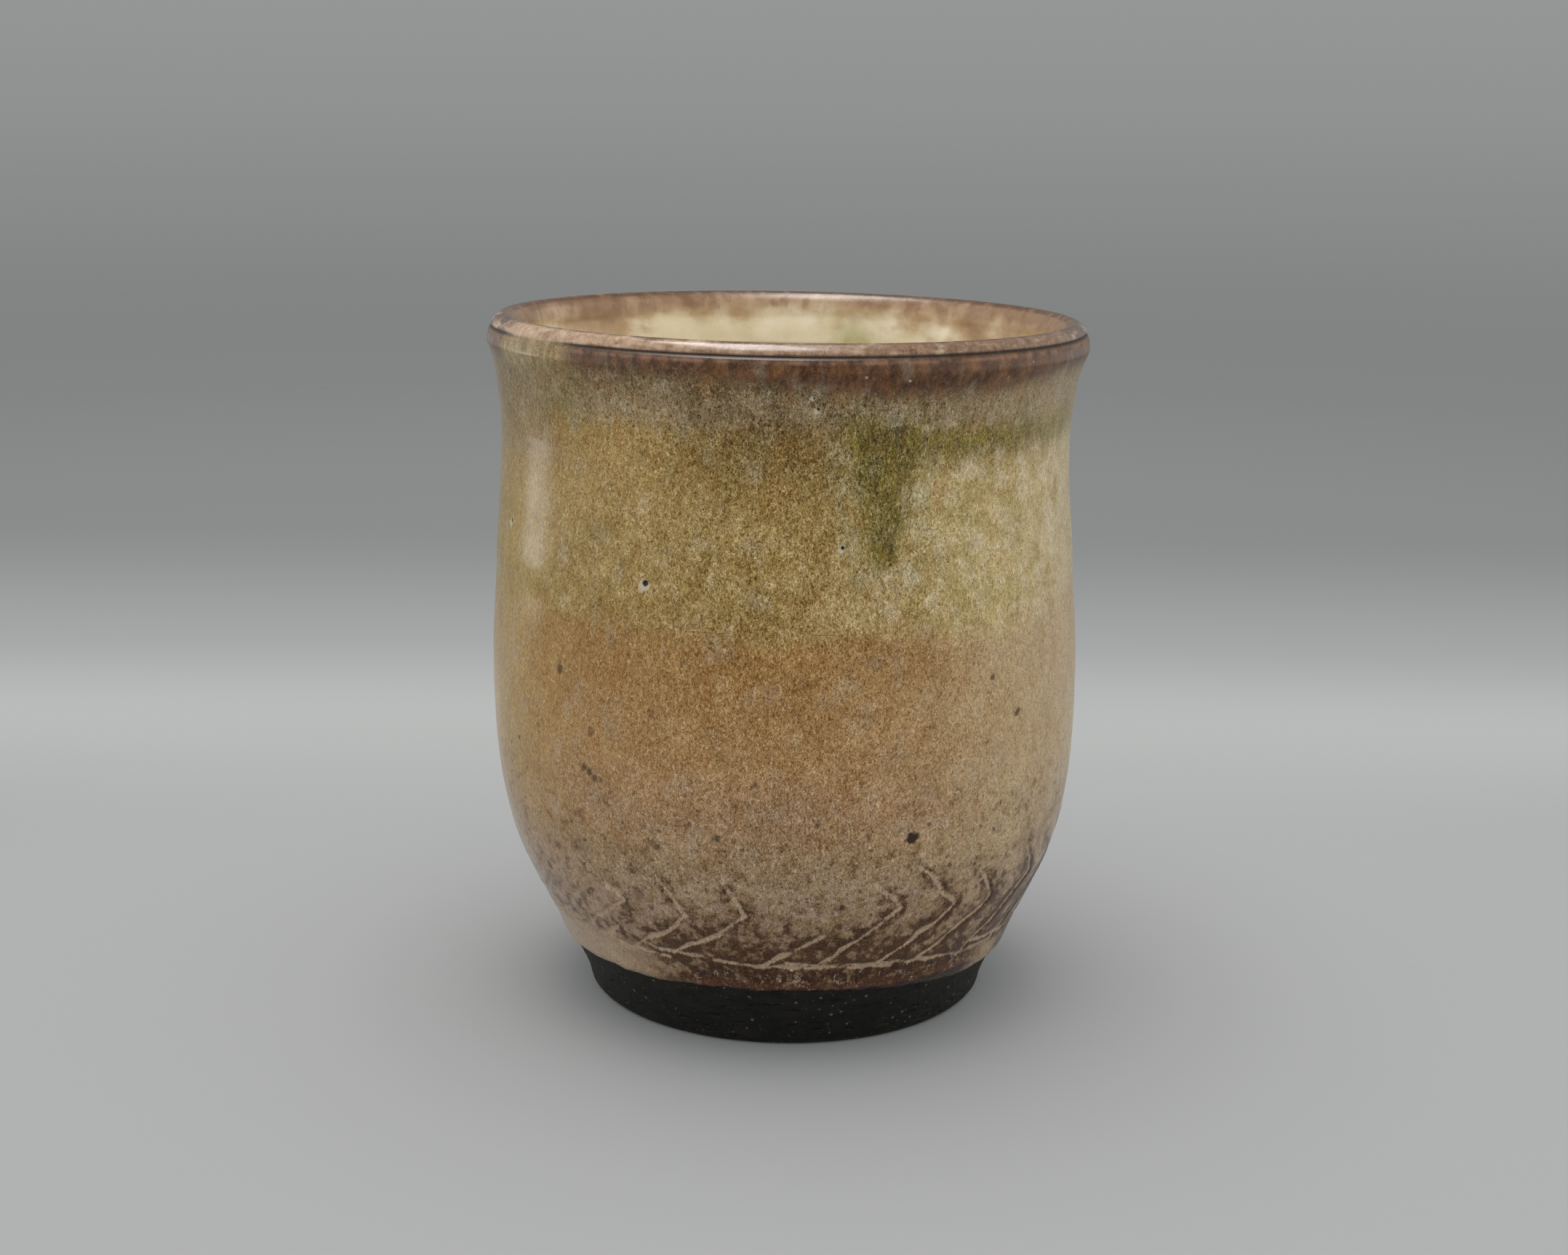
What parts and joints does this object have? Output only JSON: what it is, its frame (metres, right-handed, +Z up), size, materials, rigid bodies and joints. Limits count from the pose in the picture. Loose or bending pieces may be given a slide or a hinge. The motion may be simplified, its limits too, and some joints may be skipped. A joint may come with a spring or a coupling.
{
  "type": "yunomi tea cup",
  "caption": "Handle-less wheel-thrown stoneware tea cup with a rounded lip, layered ash-coloured glaze coats and a bare dark foot ring; it holds a hot drink.",
  "frame": {"origin": "centre of the foot ring's resting face", "axes": "+Z up along the axis on which the cup was thrown; the side with the glaze run faces -Y"},
  "size_m": [0.0778, 0.0778, 0.09],
  "materials": {
    "clay": "matte",
    "foot_clay": "matte",
    "base_glaze": "satin",
    "upper_glaze": "satin",
    "rim_glaze": "gloss",
    "liner_glaze": "gloss",
    "run_glaze": "gloss"
  },
  "bodies": {
    "root": {"clay_body": "clay", "foot_ring": "foot_clay", "base_glaze": "base_glaze", "upper_glaze": "upper_glaze", "rim_glaze": "rim_glaze", "liner_glaze": "liner_glaze", "glaze_run": "run_glaze"}
  },
  "joints": []
}
